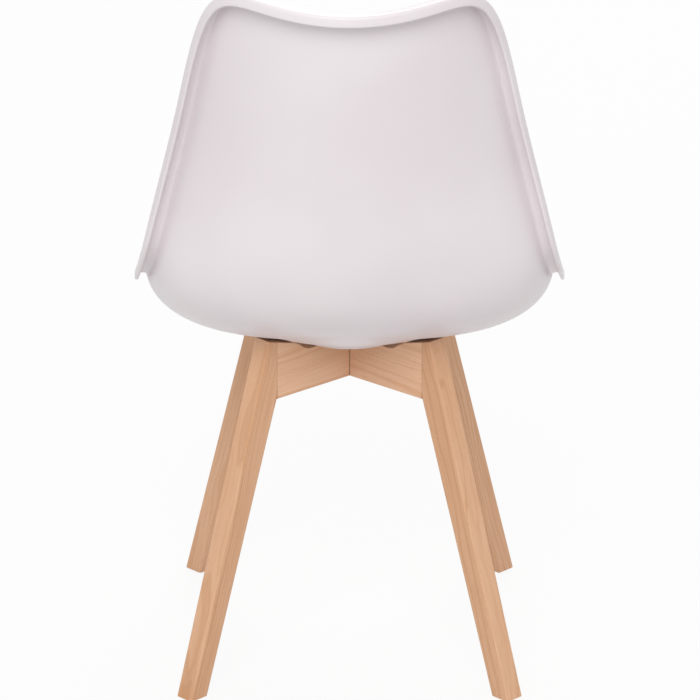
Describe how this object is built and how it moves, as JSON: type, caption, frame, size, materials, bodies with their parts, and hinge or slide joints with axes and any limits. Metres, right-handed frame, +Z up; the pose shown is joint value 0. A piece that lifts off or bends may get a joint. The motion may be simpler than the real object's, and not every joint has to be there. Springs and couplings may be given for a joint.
{
  "type": "shell chair",
  "caption": "Dining chair with a moulded plastic bucket seat, a rolled brim, a loose seat pad and four tapered wooden legs on crossed arms.",
  "frame": {"origin": "centre of the chair's bounding box, on the floor", "axes": "+Z up, the seat's open front faces -Y, the backrest is at +Y, the sitter's left is +X"},
  "size_m": [0.4747, 0.5108, 0.8284],
  "materials": {
    "shell_plastic": "satin moulded polypropylene",
    "pad_leather": "stitched soft covering",
    "beech": "clear satin lacquer",
    "dowel_wood": "raw",
    "steel": "zinc plated",
    "brass": "plain",
    "nylon": "plain"
  },
  "bodies": {
    "root": {"seat_shell": "shell_plastic", "seat_pad": "pad_leather", "arm_lap_below": "beech", "arm_lap_above": "beech", "leg_rear_left": "beech", "leg_rear_right": "beech", "leg_front_left": "beech", "leg_front_right": "beech", "joint_dowels": "dowel_wood", "seat_bolts": "steel", "seat_washers": "steel", "spring_washers": "steel", "threaded_inserts": "brass", "lap_screw": "steel", "glide_rear_left": "nylon", "glide_rear_right": "nylon", "glide_front_left": "nylon", "glide_front_right": "nylon"}
  },
  "joints": []
}
